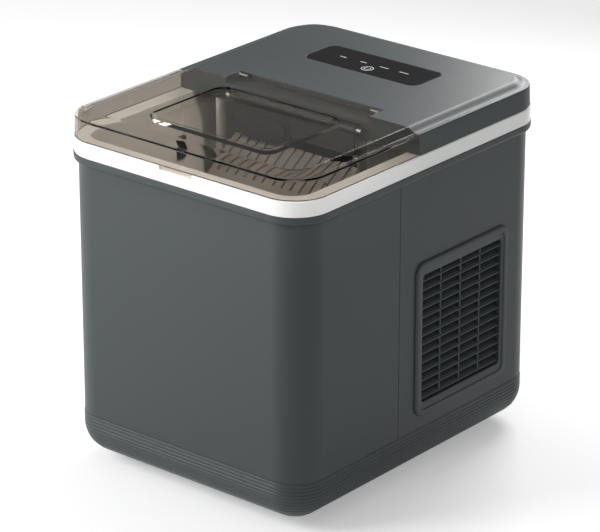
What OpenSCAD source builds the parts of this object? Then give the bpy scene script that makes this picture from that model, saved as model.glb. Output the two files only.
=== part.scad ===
// Countertop ice maker: a rounded housing with a white rim band, a smoked lid over
// the ice bin and a fixed rear cover that carries the touch panel.
// Origin: centre of the footprint on the plane the feet stand on. +Z up, front is -Y.

/* [Housing] */
// Width over the white band
band_w = 232.6; // [228:0.2:236]
// Depth over the white band
band_d = 290; // [286:1:294]
// Corner radius of the white band, seen from above
band_r = 30; // [28:0.5:32]
// Height of the white band
band_h = 12; // [11:0.5:13]
// Height of the band's lower edge above the housing's underside
band_z = 242.7; // [242.7:0.1:246]
// How far the dark collar stands out past the band
collar_out = 0.5; // [0.3:0.1:0.8]
// Height of the dark collar under the band
collar_h = 6.2; // [5.8:0.1:6.6]
// How far the housing walls lie inside the collar
body_inset = 3.7; // [3.5:0.1:3.9]
// Thickness of the housing walls
wall = 2.4; // [2.2:0.1:2.6]
// Radius of the fillet round the housing's lower edge
base_fillet = 25; // [24:0.5:25.5]
// Height of the base pan
pan_h = 35; // [34:0.5:36]
// Ridges round the base pan
ridge_rows = 9; // [7:1:10]
// Spacing of the ridges
ridge_pitch = 2.8; // [2.6:0.1:3]
// Where the front and rear housings meet, along Y
seam_y = -28; // [-29:0.5:-27]

/* [Top] */
// Height of the drafted wall of the lid and rear cover
hood_wall_h = 16.3; // [16:0.1:17]
// Rise of the slope from the ledge to the top face
hood_rise = 3.6; // [3.4:0.1:3.8]
// Width of the narrow ledge round the top
ledge_w = 3; // [2.6:0.1:3.4]
// Width of the slope between ledge and top face
slope_w = 8.7; // [8.2:0.1:9.2]
// Front face of the rear cover, along Y
cover_y = -9.9; // [-10.5:0.1:-9.5]
// Thickness of the smoked lid
lid_t = 2.2; // [2:0.1:2.4]
// Half width of the lid's hinge tab
tab_x = 68; // [66:0.5:70]
// Hinge axis of the lid, along Y
hinge_y = 4.5; // [4.3:0.1:4.7]
// Width and depth of the recess in the lid
recess = [116, 83]; // [110:1:118]
// Depth of the recess in the lid
recess_depth = 4; // [3.5:0.1:4.5]
// Width and depth of the touch panel
panel = [109, 38]; // [106:1:110]

/* [Ventilation] */
// Width and height of the grille's bezel
bezel = [112, 124]; // [110:1:114]
// Width and height of the louvred field
louvre_field = [95.5, 102]; // [94:0.5:97]
// Louvre rows
louvre_rows = 14; // [12:1:15]
// Louvre columns
louvre_cols = 4; // [3:1:5]
// Fan diameter over the blades
fan_d = 81; // [76:1:82]
// Fan blades
fan_blades = 7; // [5:1:9]

/* [Ice] */
// Half width of the bin opening
bin_x = 102.3; // [101:0.1:102.5]
// Freezing fingers in the rear row; the front row has one fewer
fingers = 5; // [4:1:5]
// Half width of the slotted ice ramp
ramp_x = 59; // [57:0.5:60]
// Slots in the ice ramp
ramp_slots = 13; // [9:2:13]
// Height of the feet
foot_h = 6; // [5:0.5:8]

/* [Hidden] */
$fn = 64;
eps = 0.01;
big = 600;

collar_w = band_w + 2 * collar_out;
collar_d = band_d + 2 * collar_out;
collar_r = band_r + collar_out;
body_w = collar_w - 2 * body_inset;
body_d = collar_d - 2 * body_inset;
body_r = collar_r - body_inset;
body_x = body_w / 2;
body_y = body_d / 2;
inner_x = body_x - wall;
inner_y = body_y - wall;
collar_z = band_z - collar_h;
flange_t = 2.2;
flange_z = band_z + band_h;
seam_gap = 0.4;
ridge_z = 10.5;

hood_inset = 0.5;
hood_draft = 0.7;
hood_w = band_w - 2 * hood_inset;
hood_d = band_d - 2 * hood_inset;
hood_r = band_r - hood_inset;
hood_t = 2.4;
ledge_z = flange_z + hood_wall_h;
top_z = ledge_z + hood_rise;
lid_gap = 0.4;
knuckle_r = 2.8;
hinge_z = top_z - knuckle_r;
notch_x = tab_x + 0.5;
notch_y = hinge_y + knuckle_r + 0.35;
notch_z = hinge_z - knuckle_r - 0.6;
pin_r = 1.5;
running = 0.06;
skirt_gap = 0.35;
pull_x = 15;
pull_y = band_d / 2 + 0.4;
pull_z = flange_z - 2.1;
recess_c = [0, -68.5];
recess_r = 9;
panel_c = [0, 81];
panel_t = 1.2;

grille_c = [46.5, 107];
grille_proud = 2;
grille_slot = 0.2;
bezel_lap = 2.5;

// Bin liner, in two depths: the tank in front and the ice-making shelf behind
liner_t = 2.4;
bin_front = -133;
bin_back = 72.3;
bin_r = 18;
tank_back = -14.4;
tank_floor = 98;
shelf_z = 165.4;
basket_x = 99.5;
basket_front = -130.5;
basket_back = -56;
basket_z = 140;
basket_rim = 205;

ramp_top = [-10.5, 232];
ramp_angle = 34.1;
ramp_end = -54.5;
slot_pitch = 8.75;
slot_w = 1.8;

// Ice-making unit under the rear cover
tray_axis = [40, 250];
tray_x = 60;
tray_front = -1;
tray_floor = 222;
shaft_r = 3;
finger_r = 4.2;
finger_tip = 230;
evap_z = 252;
evap_t = 4;
bridge_z = 262.6;
bridge_t = 3;
pusher_axis = [-13.5, 261.5];
pusher_shaft_r = 2;

// Machine compartment behind and under the liner
fan_c = [46, 106];
fan_x = 63;
condenser_x = [86, 96];
condenser_z = [66, 86, 106, 126, 146];
condenser_y = [10, 95];
comp_c = [-40, 76];
comp_r = 42;
comp_z = 17;
ear_radius = 44;
ear_angles = [30, 150, 270];
pump_c = [-80, 112];
drain_c = [-72, 48];
gland_c = [62, 50];
// outlet stub of the pump: its Y
pump_out = -3;
// drain hose: where it leaves the tank, its run across the back, and its end on the spigot
drain_from = [-95, -40];
drain_run_y = 123;
drain_end_y = 131;
valve_at = [74, 108];
boss_at = [84, 112];
foot_at = [70, 100];
cover_post = [90, [86, 120]];
float_at = [88, -26];
hose_r = 4;
copper_r = 3;

charcoal = "#4a5051";
cream = "#ecebe8";
smoke = [0.35, 0.31, 0.27, 0.5];
graphite = "#5a5d5e";
steel = "#b9bdc0";
copper = "#b87344";

// ---- helpers ----

// Heights in this file are measured from the housing's underside
module lift(z) {
    translate([0, 0, foot_h + z]) children();
}

module rounded_rect(w, d, r) {
    square([w - 2 * r, d], center = true);
    square([w, d - 2 * r], center = true);
    for (x = [-1, 1], y = [-1, 1])
        translate([x * (w / 2 - r), y * (d / 2 - r)]) circle(r);
}

module slab(w, d, h, r) {
    linear_extrude(h) rounded_rect(w, d, r);
}

module ring(w, d, h, r, t) {
    linear_extrude(h)
        difference() {
            rounded_rect(w, d, r);
            rounded_rect(w - 2 * t, d - 2 * t, r - t);
        }
}

// Rectangle from one corner to the other
module box(lo, hi) {
    translate(lo) cube(hi - lo);
}

// Child outline carried round a rounded rectangle: x is outward from the path, y is up
module swept_rim(w, d, r) {
    for (i = [0:3]) {
        across = i % 2 == 0 ? w / 2 : d / 2;
        along = i % 2 == 0 ? d : w;
        sx = i == 0 || i == 3 ? 1 : -1;
        sy = i < 2 ? 1 : -1;
        translate([sx * (w / 2 - r), sy * (d / 2 - r), 0])
            rotate([0, 0, 90 * i])
                rotate_extrude(angle = 90) translate([r, 0]) children();
        rotate([0, 0, 90 * i])
            translate([across, 0, 0])
                rotate([90, 0, 0])
                    linear_extrude(along - 2 * r, center = true) children();
    }
}

// Solid block whose lower edge is rounded all the way round
module filleted_block(w, d, h, r, f) {
    swept_rim(w, d, r)
        difference() {
            translate([-r, 0]) square([r, h]);
            difference() {
                translate([-f, -1]) square([f + 1, f + 1]);
                translate([-f, f]) circle(f);
            }
        }
    translate([-w / 2 + r, -d / 2 + r, 0]) cube([w - 2 * r, d - 2 * r, h]);
}

// Solid of the hood's outer form: drafted wall, ledge, S-shaped slope, flat top
module hood_solid(w, d, r, h, rise) {
    steps = 8;
    inside = hood_draft + ledge_w + slope_w + 2;
    foot = [[-inside, 0], [0, 0], [-hood_draft, h]];
    slope = [
        for (i = [0:steps])
            let (t = i / steps)
            [-hood_draft - ledge_w - slope_w * t, h + rise * (1 - cos(180 * t)) / 2]
    ];
    swept_rim(w, d, r) polygon(concat(foot, slope, [[-inside, h + rise]]));
    slab(w - 2 * inside + 2, d - 2 * inside + 2, h + rise, r - inside + 1);
}

module hood_shell(t) {
    difference() {
        hood_solid(hood_w, hood_d, hood_r, hood_wall_h, hood_rise);
        translate([0, 0, -t]) {
            hood_solid(hood_w - 2 * t, hood_d - 2 * t, hood_r - t, hood_wall_h, hood_rise);
            translate([0, 0, -1]) slab(hood_w - 2 * t, hood_d - 2 * t, 1 + eps, hood_r - t);
        }
    }
}

// Pipe with rounded elbows through points whose runs meet at right angles
module pipe(points, r, bend = 6) {
    last = len(points) - 1;
    for (i = [1:last]) {
        v = points[i] - points[i - 1];
        u = v / norm(v);
        a = points[i - 1] + (i > 1 ? bend : 0) * u;
        n = norm(v) - (i > 1 ? bend : 0) - (i < last ? bend : 0);
        translate(a)
            rotate([0, acos(u[2]), atan2(u[1], u[0])])
                cylinder(h = n, r = r);
    }
    for (i = [1:last - 1]) {
        u = (points[i] - points[i - 1]) / norm(points[i] - points[i - 1]);
        v = (points[i + 1] - points[i]) / norm(points[i + 1] - points[i]);
        w = cross(u, v);
        c = points[i] + (v - u) * bend;
        multmatrix([
            [-v[0], u[0], w[0], c[0]],
            [-v[1], u[1], w[1], c[1]],
            [-v[2], u[2], w[2], c[2]],
            [0, 0, 0, 1]
        ])
            rotate_extrude(angle = 90) translate([bend, 0]) circle(r);
    }
}

module x_rod(x0, x1, r) {
    translate([x0, 0, 0]) rotate([0, 90, 0]) cylinder(h = x1 - x0, r = r);
}

module y_rod(y0, y1, r) {
    translate([0, y0, 0]) rotate([-90, 0, 0]) cylinder(h = y1 - y0, r = r);
}

module four(at) {
    for (x = [-1, 1], y = [-1, 1]) translate([x * at[0], y * at[1], 0]) children();
}

// ---- housing ----

module base_pan() color(charcoal) lift(0) {
    difference() {
        filleted_block(body_w, body_d, pan_h, body_r, base_fillet);
        translate([0, 0, wall])
            filleted_block(inner_x * 2, inner_y * 2, pan_h, body_r - wall, base_fillet - wall);
        four(foot_at) translate([0, 0, -1]) cylinder(h = 2.2, r = 9.3);
        four(boss_at) translate([0, 0, -1]) cylinder(h = pan_h, r = 1.9);
        four(boss_at) translate([0, 0, -1]) cylinder(h = 2, r = 3.4);
    }
    // fine ridges round the lower edge, following its fillet
    for (i = [0:ridge_rows - 1]) {
        z = ridge_z + i * ridge_pitch;
        in = z < base_fillet ? base_fillet - sqrt(pow(base_fillet, 2) - pow(base_fillet - z, 2)) : 0;
        swept_rim(body_w, body_d, body_r) translate([-in - 0.35, z]) circle(0.8);
    }
    // pads that carry the steel base plate
    for (x = [-70, 0, 70], y = [8, 56, 99])
        translate([x, y, wall]) cylinder(h = 6 - wall, r = 5);
}

module housing_ring() {
    lift(pan_h)
        difference() {
            ring(body_w, body_d, collar_z - pan_h, body_r, wall);
            // shadow groove under the collar
            translate([0, 0, collar_z - pan_h - 0.7])
                ring(body_w + 4, body_d + 4, 2, body_r + 2, 2.5);
        }
}

module screw_boss(sy) {
    for (x = [-1, 1])
        translate([x * boss_at[0], sy * boss_at[1], 0])
            difference() {
                union() {
                    lift(wall) cylinder(h = 60, r = 4.5);
                    lift(54.5) translate([x > 0 ? 3 : -inner_x + boss_at[0] - eps, -1.2, 0])
                        cube([inner_x - boss_at[0] - 3 + eps, 2.4, 7.5]);
                }
                lift(-1) cylinder(h = 26, r = 1.4);
            }
}

module front_housing() color(charcoal) {
    intersection() {
        housing_ring();
        box([-big, -big, 0], [big, seam_y - seam_gap / 2, big]);
    }
    screw_boss(-1);
}

module grille_opening(side) {
    translate([side * inner_x, grille_c[0], foot_h + grille_c[1]])
        rotate([90, 0, 90])
            translate([0, 0, -10])
                slab(bezel[0] - 2 * bezel_lap, bezel[1] - 2 * bezel_lap, 20, 6);
}

module rear_housing() color(charcoal) {
    difference() {
        intersection() {
            housing_ring();
            box([-big, seam_y + seam_gap / 2, 0], [big, big, big]);
        }
        grille_opening(1);
        grille_opening(-1);
        lift(gland_c[1]) translate([gland_c[0], 0, 0]) y_rod(inner_y - 5, body_y + 5, 7);
        lift(drain_c[1]) translate([drain_c[0], 0, 0]) y_rod(inner_y - 5, body_y + 5, 6.5);
    }
    screw_boss(1);
}

module rim_collar() color(charcoal) lift(collar_z) {
    curl = 2.6;
    deep = body_inset + wall;
    swept_rim(collar_w, collar_d, collar_r) {
        translate([-deep, curl]) square([deep, collar_h - curl]);
        translate([-deep, 0]) square([deep - curl, curl + eps]);
        translate([-curl, curl]) circle(curl);
    }
}

module bin_outline(grow) {
    w = 2 * (bin_x + grow);
    d = bin_back - bin_front + 2 * grow;
    translate([0, (bin_back + bin_front) / 2]) rounded_rect(w, d, bin_r + grow);
}

module top_frame() color(cream)
    difference() {
        union() {
            lift(band_z) ring(band_w, band_d, band_h, band_r, wall);
            lift(flange_z - flange_t)
                linear_extrude(flange_t)
                    difference() {
                        rounded_rect(band_w - 2, band_d - 2, band_r - 1);
                        bin_outline(0);
                        translate([66, 92]) square([34, 14], center = true);
                        for (x = [-1, 1], y = cover_post[1])
                            translate([x * cover_post[0], y]) circle(1.9);
                    }
        }
        // room for the lid's finger pull
        lift(0)
            box([-pull_x - 0.6, -big, pull_z - 0.4],
                [pull_x + 0.6, -pull_y + 1.8, flange_z + 1]);
    }

// Louvred insert with a raised bezel, standing in the YZ plane and facing +X
module vent_grille() {
    field = louvre_field;
    pitch = field[1] / louvre_rows;
    plug = [bezel[0] - 2 * (bezel_lap + grille_slot), bezel[1] - 2 * (bezel_lap + grille_slot)];
    translate([body_x, grille_c[0], foot_h + grille_c[1]]) {
        difference() {
            union() {
                // bezel, stepped to a rounded edge
                rotate([90, 0, 90]) slab(bezel[0], bezel[1], 1.2, 9);
                rotate([90, 0, 90]) slab(bezel[0] - 2, bezel[1] - 2, grille_proud, 8);
                translate([-7, 0, 0]) rotate([90, 0, 90]) slab(plug[0], plug[1], 7 + eps, 5.8);
            }
            translate([-8, 0, 0])
                rotate([90, 0, 90]) slab(field[0], field[1], 12, 3);
            // shallow step between bezel and louvres
            translate([0.8, 0, 0])
                rotate([90, 0, 90]) slab(bezel[0] - 12, bezel[1] - 12, 3, 5);
        }
        for (i = [0:louvre_rows - 1])
            translate([-3.2, 0, -field[1] / 2 + pitch * (i + 0.5)])
                rotate([0, 34, 0]) cube([7.2, field[0] + 1, 1.5], center = true);
        for (i = [1:louvre_cols - 1])
            translate([-3.4, -field[0] / 2 + field[0] / louvre_cols * i, 0])
                cube([6, 1.6, field[1] + 1], center = true);
    }
}

module right_vent_grille() color(charcoal) vent_grille();

module left_vent_grille() color(charcoal) mirror([1, 0, 0]) vent_grille();

module top_cover() color(charcoal) lift(0) {
    notch_t = 2.4;
    difference() {
        union() {
            intersection() {
                translate([0, 0, flange_z]) hood_shell(hood_t);
                box([-big, cover_y, 0], [big, big, big]);
            }
            // front wall
            intersection() {
                translate([0, 0, flange_z])
                    hood_solid(hood_w, hood_d, hood_r, hood_wall_h, hood_rise);
                box([-big, cover_y, 0], [big, cover_y + hood_t, big]);
            }
            // trough that holds the lid's knuckle
            box([-notch_x - notch_t, cover_y, notch_z - notch_t],
                [notch_x + notch_t, notch_y + notch_t, top_z - 1]);
            // hinge bosses
            for (x = [-1, 1])
                translate([x * (notch_x + 3.5), hinge_y - 1, notch_z + 1.5])
                    cube([7, 11, 7.4], center = true);
            // posts for the cover screws
            for (x = [-1, 1], y = cover_post[1])
                translate([x * cover_post[0], y, flange_z])
                    cylinder(h = top_z - flange_z - 1, r = 4);
            // ears that carry the pusher's shaft
            for (x = [-1, 1])
                translate([x * 63.2, 0, 0])
                    box([-1.8, pusher_axis[0] - 3.2, 257], [1.8, cover_y + 1, notch_z - 1]);
        }
        // notch for the hinge tab
        box([-notch_x, cover_y - 5, notch_z], [notch_x, notch_y, top_z + 1]);
        // way through for the ice
        box([-60.5, cover_y - 1, flange_z - 1], [60.5, cover_y + hood_t + 1, notch_z - notch_t - 1]);
        // hinge bores
        translate([0, hinge_y, hinge_z]) x_rod(-notch_x - 6, notch_x + 6, pin_r + running);
        translate([0, pusher_axis[0], pusher_axis[1]]) x_rod(-65, 65, pusher_shaft_r + running);
        // seat and window of the touch panel
        translate([panel_c[0], panel_c[1], top_z - panel_t]) slab(panel[0], panel[1], 5, 8);
        translate([panel_c[0], panel_c[1], top_z - 5])
            slab(panel[0] - 10, panel[1] - 10, 6, 4);
        for (x = [-1, 1], y = cover_post[1])
            translate([x * cover_post[0], y, flange_z - 1]) cylinder(h = 13, r = 1.4);
    }
}

module control_panel() color("#17181a") lift(top_z - panel_t)
    translate([panel_c[0], panel_c[1], 0]) slab(panel[0] - 0.4, panel[1] - 0.4, panel_t, 7.8);

module control_board() color("#2e6b3f") lift(0) {
    z = top_z - hood_t - 6.6;
    board_t = 1.6;
    reach = top_z - panel_t - z - board_t;
    translate([panel_c[0], panel_c[1], z]) {
        slab(96, 30, board_t, 2);
        // touch springs under the keys, and the buzzer
        for (x = [-30, -10, 10, 29]) translate([x, 1, board_t]) cylinder(h = reach, r = 1.2);
        translate([0, -9, board_t]) cylinder(h = reach, r = 4.5);
        translate([34, -8, 1.6]) cylinder(h = 4, r = 4.5);
        translate([-30, -8, 3]) cube([12, 6, 3], center = true);
    }
}

// ---- bin, tank and ice making ----

module tank_outline(grow) {
    w = 2 * (bin_x + grow);
    d = tank_back - bin_front + 2 * grow;
    translate([0, (tank_back + bin_front) / 2]) rounded_rect(w, d, 14 + grow);
}

module bin_liner() color(cream) lift(0) {
    top = flange_z - flange_t;
    difference() {
        union() {
            translate([0, 0, shelf_z - liner_t])
                linear_extrude(top - shelf_z + liner_t) bin_outline(liner_t);
            translate([0, 0, tank_floor - liner_t])
                linear_extrude(shelf_z - tank_floor) tank_outline(liner_t);
        }
        translate([0, 0, shelf_z]) linear_extrude(100) bin_outline(0);
        translate([0, 0, tank_floor]) linear_extrude(shelf_z - tank_floor + 5) tank_outline(0);
        // upright grooves that hold the ice sensors
        for (x = [-1, 1])
            translate([x * bin_x, -24.5, (top + 190) / 2]) cube([2.4, 9, top - 190], center = true);
        // pump inlet, hose way and drain
        translate([pump_c[0], 0, pump_c[1]]) y_rod(tank_back - 1, tank_back + 5, 4.2);
        translate([pump_c[0], pump_out, shelf_z - 5]) cylinder(h = 10, r = 5.2);
        translate([-95, -40, tank_floor - 5]) cylinder(h = 10, r = 3.5);
    }
    // rests for the basket
    for (x = [-92, 92], y = [-122, -64])
        translate([x, y, tank_floor - eps]) cylinder(h = basket_z - tank_floor + eps, r = 4);
}

module foam_jacket() color("#e9e4d6") lift(0) {
    top = flange_z - flange_t - 4;
    out = 5.4;
    gap = liner_t + 0.2;
    pocket_x = body_x - 7.7;
    difference() {
        union() {
            translate([0, 0, shelf_z - liner_t - 5.2])
                linear_extrude(top - shelf_z + liner_t + 5.2) bin_outline(gap + out);
            translate([0, 0, tank_floor - liner_t - 8.2])
                linear_extrude(shelf_z - tank_floor + 4) tank_outline(gap + out);
        }
        translate([0, 0, shelf_z - liner_t - 0.2]) linear_extrude(120) bin_outline(gap);
        translate([0, 0, tank_floor - liner_t - 0.2])
            linear_extrude(shelf_z - tank_floor + 9) tank_outline(gap);
        // thinner where the housing comes close
        difference() {
            translate([0, 0, 40]) slab(big, big, 250, 1);
            slab(2 * inner_x - 1, 2 * inner_y - 1, big, body_r - wall - 0.5);
        }
        // room for the grilles, the pump, the hose and the drain
        for (side = [-1, 1])
            translate([side * (pocket_x + big / 2), grille_c[0], 0])
                box([-big / 2, 1 - bezel[0] / 2, 0], [big / 2, bezel[0] / 2 - 1, shelf_z + 3]);
        translate([pump_c[0], 0, pump_c[1]]) y_rod(tank_back - 1, 60, 19);
        translate([pump_c[0], pump_out, pump_c[1]]) cylinder(h = 70, r = 6);
        translate([drain_from[0], drain_from[1], tank_floor - 20]) cylinder(h = 30, r = 6.5);
    }
}

module ramp_cut(x) {
    // one slot: up the back lip, then down the slope
    translate([x, 0, 0]) {
        box([-slot_w / 2, ramp_top[0] - 3, ramp_top[1] - 1.5],
            [slot_w / 2, ramp_top[0] + 5, ramp_top[1] + 7.4]);
        translate([0, ramp_top[0], ramp_top[1]])
            rotate([ramp_angle, 0, 0]) box([-slot_w / 2, -34.5, -8], [slot_w / 2, 1, 8]);
    }
}

module ice_ramp() color(graphite) lift(0) {
    lip = 2;
    run = (ramp_top[0] - ramp_end) / cos(ramp_angle);
    half = (ramp_slots - 1) / 2;
    difference() {
        union() {
            box([-ramp_x, ramp_top[0], ramp_top[1] - 7],
                [ramp_x, ramp_top[0] + lip, ramp_top[1] + 9]);
            translate([0, ramp_top[0], ramp_top[1]])
                rotate([ramp_angle, 0, 0]) box([-ramp_x, -run, -2.2], [ramp_x, 1.2, 0]);
        }
        for (i = [-half:half]) ramp_cut(i * slot_pitch);
    }
    // stiffening cheeks under the slope
    for (x = [-ramp_x, ramp_x - 2])
        translate([x, 0, 0])
            rotate([90, 0, 90])
                linear_extrude(2)
                    polygon([
                        [ramp_top[0] + lip, ramp_top[1] - 7],
                        [ramp_top[0] + lip, ramp_top[1] - 16],
                        [ramp_end + 4, ramp_top[1] + (ramp_end + 4 - ramp_top[0]) * tan(ramp_angle) - 8],
                        [ramp_end + 2, ramp_top[1] + (ramp_end + 2 - ramp_top[0]) * tan(ramp_angle) - 2.3],
                        [ramp_top[0], ramp_top[1] - 2.3]
                    ]);
    // legs that stand on the shelf
    for (x = [-1, 1])
        translate([x * 50, 0, 0])
            box([-5, ramp_top[0] + lip - eps, shelf_z], [5, ramp_top[0] + lip + 3, ramp_top[1] - 2]);
}

module finger_places() {
    step = 20;
    for (i = [0:fingers - 1]) translate([(i - (fingers - 1) / 2) * step, 26.5, 0]) children();
    for (i = [0:fingers - 2]) translate([(i - (fingers - 2) / 2) * step, 13.5, 0]) children();
}

module evaporator() color("#c9c6bf") lift(0) {
    box([-50, 5, evap_z], [50, 33, evap_z + evap_t]);
    finger_places() {
        translate([0, 0, finger_tip + finger_r])
            cylinder(h = evap_z - finger_tip - finger_r + eps, r = finger_r);
        translate([0, 0, finger_tip + finger_r]) sphere(finger_r);
    }
}

module evaporator_coil() color(copper) lift(evap_z + evap_t + copper_r) {
    pipe([[58, 92, -14], [58, 92, 0], [58, 27, 0], [-42, 27, 0], [-42, 11, 0], [97, 11, 0],
          [97, 62, 0], [74, 62, 0], [74, 92, 0], [74, 92, -14]], copper_r - 0.1);
}

module evaporator_bridge() color("#d9d9d6") lift(0) {
    difference() {
        union() {
            box([-108, 0, bridge_z], [108, 46, bridge_z + bridge_t]);
            for (x = [-108, 104]) box([x, 0, flange_z], [x + 4, 46, bridge_z + eps]);
            for (x = [-66, 62]) box([x, 34, 243], [x + 4, 46, bridge_z + eps]);
            // hangers of the evaporator
            for (x = [-47, 0, 47])
                translate([x, 19, evap_z + evap_t])
                    cylinder(h = bridge_z - evap_z - evap_t + eps, r = 1.8);
        }
        translate([0, tray_axis[0], tray_axis[1]]) x_rod(-70, 70, shaft_r + running);
    }
}

module tray_motor() color("#d8d5cc") lift(0) {
    difference() {
        union() {
            box([67, 26, 238], [90, 54, bridge_z]);
            translate([0, tray_axis[0], tray_axis[1]]) x_rod(66.3, 68, 7);
            translate([78.5, 56, 250]) cube([14, 5, 10], center = true);
        }
        translate([0, tray_axis[0], tray_axis[1]]) x_rod(60, 74, shaft_r + running);
    }
}

module ice_sensors() color("#202225") lift(0) {
    for (x = [-1, 1])
        translate([x * (bin_x - 0.4), -24.5, 214]) {
            cube([3.1, 8.6, 16], center = true);
            translate([-x * 1.4, 0, 0]) sphere(2.2);
        }
}

module float_stem() color("#e4e4e0") lift(0)
    translate([float_at[0], float_at[1], 0]) {
        translate([0, 0, tank_floor]) cylinder(h = 6, r = 5);
        translate([0, 0, tank_floor]) cylinder(h = 39, r = 2.4);
        translate([0, 0, tank_floor + 36]) cylinder(h = 2, r = 4);
    }

// ---- machine compartment ----

module ear_places() {
    for (a = ear_angles)
        translate([comp_c[0] + ear_radius * cos(a), comp_c[1] + ear_radius * sin(a), 0]) children();
}

module base_plate() color(steel) lift(6)
    difference() {
        translate([0, 51, 0]) slab(172, 110, 1.2, 8);
        ear_places() translate([0, 0, -1]) cylinder(h = 4, r = 3.1);
    }

module compressor() color("#1d1e20") lift(0) {
    edge = 20;
    height = 122;
    translate([comp_c[0], comp_c[1], 0]) {
        // shell with rounded ends
        translate([0, 0, comp_z - 0.5 + edge]) cylinder(h = height - 2 * edge, r = comp_r);
        translate([0, 0, comp_z - 0.5]) cylinder(h = height, r = comp_r - edge);
        for (z = [edge, height - edge])
            translate([0, 0, comp_z - 0.5 + z])
                rotate_extrude() translate([comp_r - edge, 0]) circle(edge);
        // discharge stub and terminal cover
        translate([0, 0, comp_z + height - 4]) cylinder(h = 6, r = 4);
        translate([0, -comp_r - 1, comp_z + 90]) cube([26, 10, 34], center = true);
    }
    // foot plate with its three ears
    translate([0, 0, comp_z - 3])
        linear_extrude(3)
            difference() {
                union() {
                    translate(comp_c) circle(32);
                    ear_places() circle(8);
                    for (a = ear_angles)
                        translate(comp_c) rotate(a) translate([20, -6.5]) square([ear_radius - 22, 13]);
                }
                ear_places() circle(3.2);
            }
}

module compressor_grommets() color("#26272a") lift(7.2)
    ear_places()
        difference() {
            cylinder(h = comp_z - 3 - 7.2, r = 7);
            translate([0, 0, -1]) cylinder(h = 20, r = 3.1);
        }

module compressor_bolts() color(steel) lift(0)
    ear_places() {
        translate([0, 0, 6]) cylinder(h = 18, r = 3);
        translate([0, 0, comp_z]) cylinder(h = 1, r = 7);
        translate([0, 0, comp_z + 1]) cylinder(h = 4, r = 5.5, $fn = 6);
    }

module accumulator() color("#1d1e20") lift(0)
    translate([16, 92, 0]) {
        translate([0, 0, 60]) cylinder(h = 60, r = 10);
        translate([0, 0, 120]) cylinder(h = 5, r1 = 10, r2 = 4);
        translate([0, 0, 55]) cylinder(h = 5, r1 = 4, r2 = 10);
    }

module condenser_fins() color("#c2c6c8") lift(0) {
    fin_step = 3;
    count = 27;
    for (i = [0:count - 1])
        translate([0, condenser_y[0] + 2.5 + i * fin_step, 0])
            rotate([90, 0, 0])
                linear_extrude(0.5)
                    difference() {
                        translate([81, 56]) square([20, 100]);
                        for (x = condenser_x, z = condenser_z) translate([x, z]) circle(3.5);
                    }
}

module condenser_tube() color(copper) lift(0) {
    y0 = condenser_y[0];
    y1 = condenser_y[1];
    turn = 10;
    for (x = condenser_x, z = condenser_z) translate([x, 0, z]) y_rod(y0, y1, 3.4);
    // return bends, alternating between the two ends
    for (k = [0, 1], i = [0:3])
        translate([condenser_x[k], i % 2 == 0 ? y1 : y0, condenser_z[i] + turn])
            rotate([90, 0, 90])
                rotate([0, 0, i % 2 == 0 ? -90 : 90])
                    rotate_extrude(angle = 180) translate([turn, 0]) circle(3.4);
    // cross-over between the two columns
    translate([(condenser_x[0] + condenser_x[1]) / 2, y0, condenser_z[0]])
        rotate([0, 0, 180])
            rotate_extrude(angle = 180) translate([5, 0]) circle(3.4);
}

module fan_shroud() color("#2a2c2e") lift(0) {
    difference() {
        box([62.5, -4, 53], [80.5, 97.5, 157]);
        box([73, -2, 55], [82, 95.5, 155]);
        translate([0, fan_c[0], fan_c[1]]) x_rod(60, 82, fan_d / 2 + 2);
    }
    for (y = [2, 74]) box([66, y, 7.2], [80, y + 14, 53]);
    // spider that holds the motor
    difference() {
        translate([60, fan_c[0], fan_c[1]]) {
            for (a = [45, 135]) rotate([a, 0, 0]) cube([5, 98, 8], center = true);
            x_rod(-2.5, 2.5, 18);
        }
        translate([0, fan_c[0], fan_c[1]]) x_rod(40, 70, 14.2);
    }
}

module fan_motor() color("#3b3d40") lift(0)
    translate([0, fan_c[0], fan_c[1]])
        difference() {
            union() {
                x_rod(34, 62.4, 14);
                x_rod(31, 34, 8);
            }
            x_rod(40, 64, 1.5 + running);
        }

module fan_blade() color("#55585a") lift(0)
    translate([0, fan_c[0], fan_c[1]]) {
        x_rod(fan_x, fan_x + 9, 10);
        x_rod(45, fan_x + 1, 1.5);
        for (i = [0:fan_blades - 1])
            rotate([i * 360 / fan_blades, 0, 0])
                translate([fan_x + 5.8, 0, 9 + (fan_d / 2 - 9) / 2])
                    rotate([0, 0, 52]) cube([1.3, 12.4, fan_d / 2 - 9.3], center = true);
    }

module filter_drier() color(copper) lift(0)
    translate([36, 96, 0]) {
        translate([0, 0, 66]) cylinder(h = 60, r = 7.5);
        translate([0, 0, 126]) cylinder(h = 6, r1 = 7.5, r2 = 3);
        translate([0, 0, 60]) cylinder(h = 6, r1 = 1.5, r2 = 7.5);
    }

module capillary_tube() color(copper) lift(0)
    pipe([[36, 96, 132], [36, 96, 140], [36, 118, 140], [58, 118, 140], [58, 118, 200],
          [58, 92, 200], [58, 92, 245]], 1.1, 4);

module discharge_line() color(copper) lift(0) {
    y = valve_at[1];
    x = valve_at[0];
    top = condenser_z[4];
    pipe([[comp_c[0], comp_c[1], 141], [comp_c[0], comp_c[1], 150], [comp_c[0], y, 150],
          [x, y, 150], [x, y, 128]], 2.9);
    pipe([[x, y, 112], [x, y, 98], [x, y + 14, 98], [condenser_x[1], y + 14, 98],
          [condenser_x[1], y + 14, top], [condenser_x[1], condenser_y[1], top]], 2.9, 4);
}

module liquid_line() color(copper) lift(0)
    pipe([[condenser_x[0], condenser_y[1], condenser_z[4]], [86, 112, 146], [86, 112, 76],
          [36, 112, 76], [36, 112, 48], [36, 96, 48], [36, 96, 60]], 2.4);

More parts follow.
